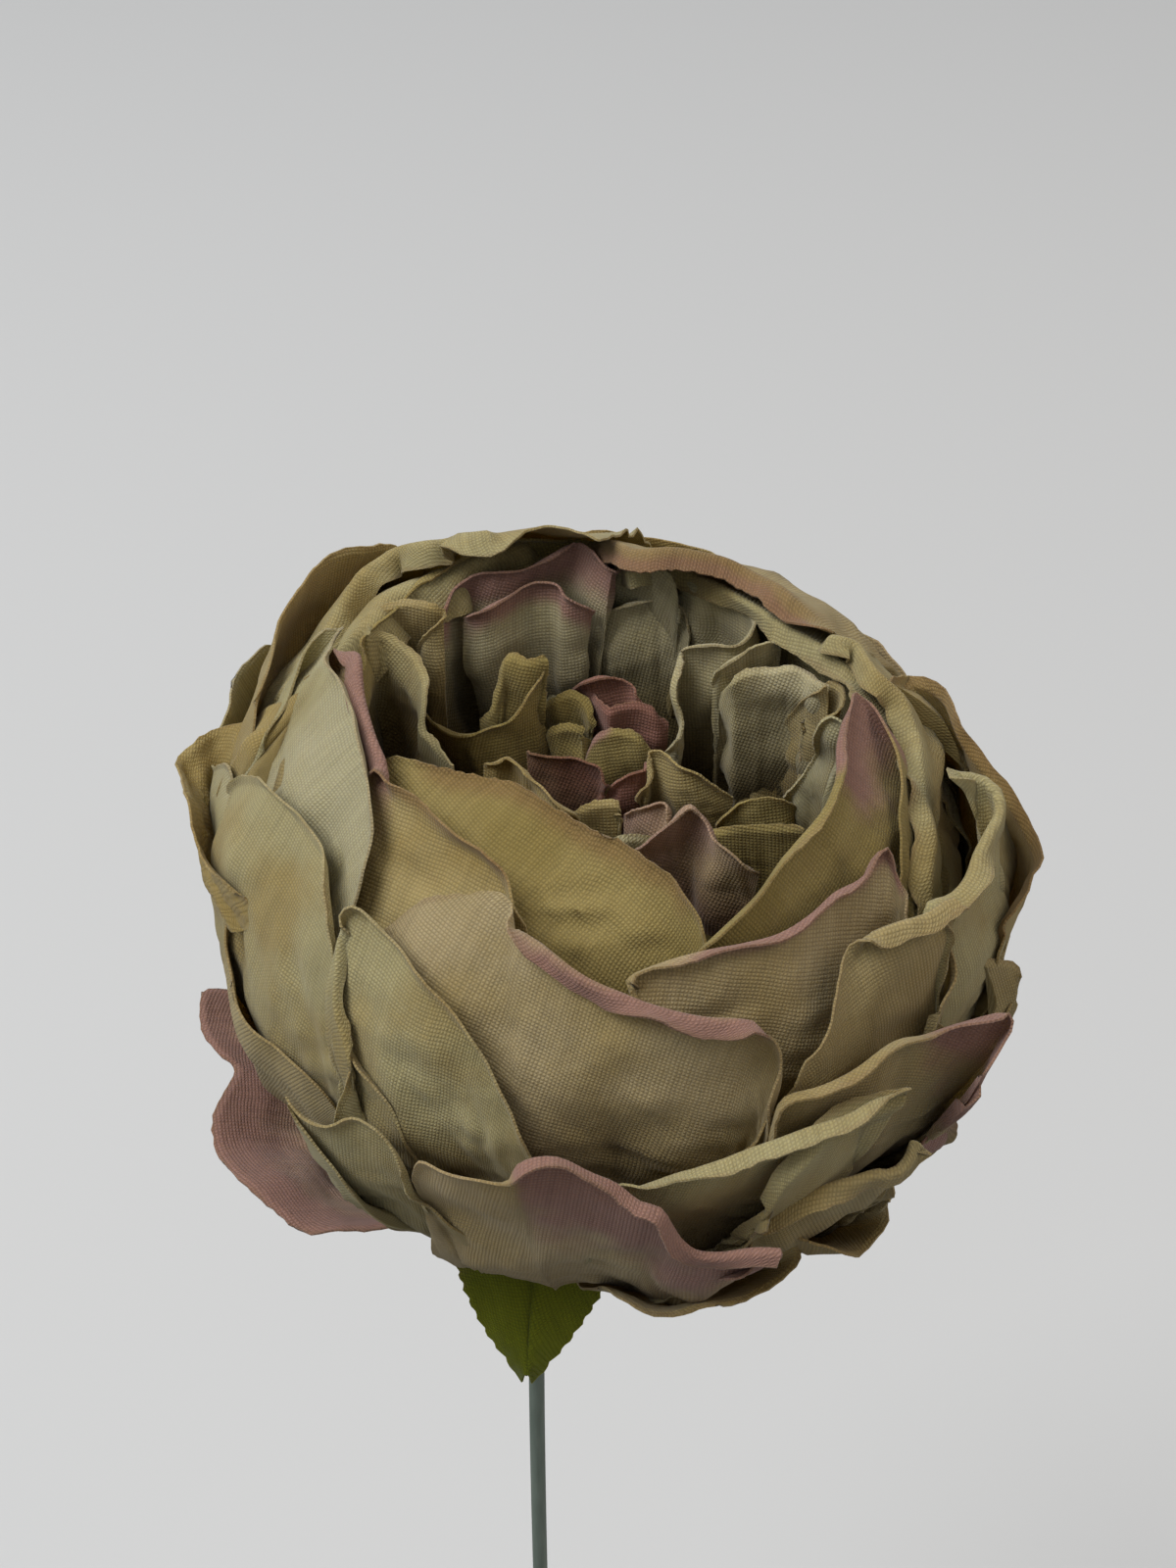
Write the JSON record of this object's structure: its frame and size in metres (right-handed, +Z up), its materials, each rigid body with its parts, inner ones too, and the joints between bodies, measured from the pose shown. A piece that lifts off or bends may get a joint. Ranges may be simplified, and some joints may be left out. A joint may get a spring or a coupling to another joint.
{
  "type": "peony in a bud vase",
  "caption": "Full-blown cloth peony with layered petals on a slender wired stem, standing in a plain glazed ceramic bud vase with a narrow neck.",
  "frame": {"origin": "centre of the vase's flat foot, on the surface that the vase stands on", "axes": "+Z up along the vase's axis, -Y towards the front of the flower, +X to the right of someone who looks at its front"},
  "size_m": [0.0947, 0.1043, 0.3334],
  "materials": {
    "petal_cloth": "matte plain-weave cloth, dyed sage and ochre with dusty mauve edges",
    "leaf_cloth": "matte plain-weave cloth, yellow-green",
    "stem_plastic": "matte dark grey-green plastic",
    "wire": "drawn steel wire",
    "vase_glaze": "smooth off-white glaze"
  },
  "bodies": {
    "root": {"bloom": "petal_cloth", "calyx": "leaf_cloth", "stem_sleeve": "stem_plastic", "stem_wire": "wire", "vase": "vase_glaze"}
  },
  "joints": []
}
